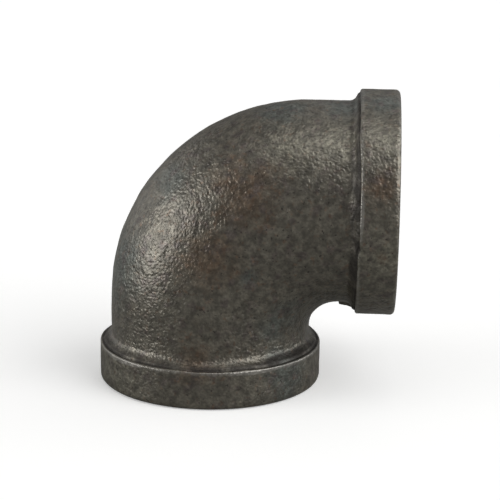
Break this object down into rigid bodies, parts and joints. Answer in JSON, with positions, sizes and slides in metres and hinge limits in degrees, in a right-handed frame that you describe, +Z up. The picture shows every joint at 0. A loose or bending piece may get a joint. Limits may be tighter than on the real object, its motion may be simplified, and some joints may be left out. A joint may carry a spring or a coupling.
{
  "type": "pipe elbow",
  "caption": "Right-angle pipe elbow in black malleable iron, with a raised flat band and a tapered internal pipe thread at each end.",
  "frame": {"origin": "centre of the bounding box's bottom, in the plane of the lower port's face. The two ports' axes cross at (-0.0076, 0, 0.0381)", "axes": "+X the way the side port faces, +Z up, so the lower port faces -Z, and +Y across both ports' axes"},
  "size_m": [0.061, 0.046, 0.0611],
  "materials": {
    "black_malleable_iron": "as cast under dark annealing scale, with thin brown rust; machined port faces and threads"
  },
  "bodies": {
    "root": {"elbow_casting": "black_malleable_iron"}
  },
  "joints": []
}
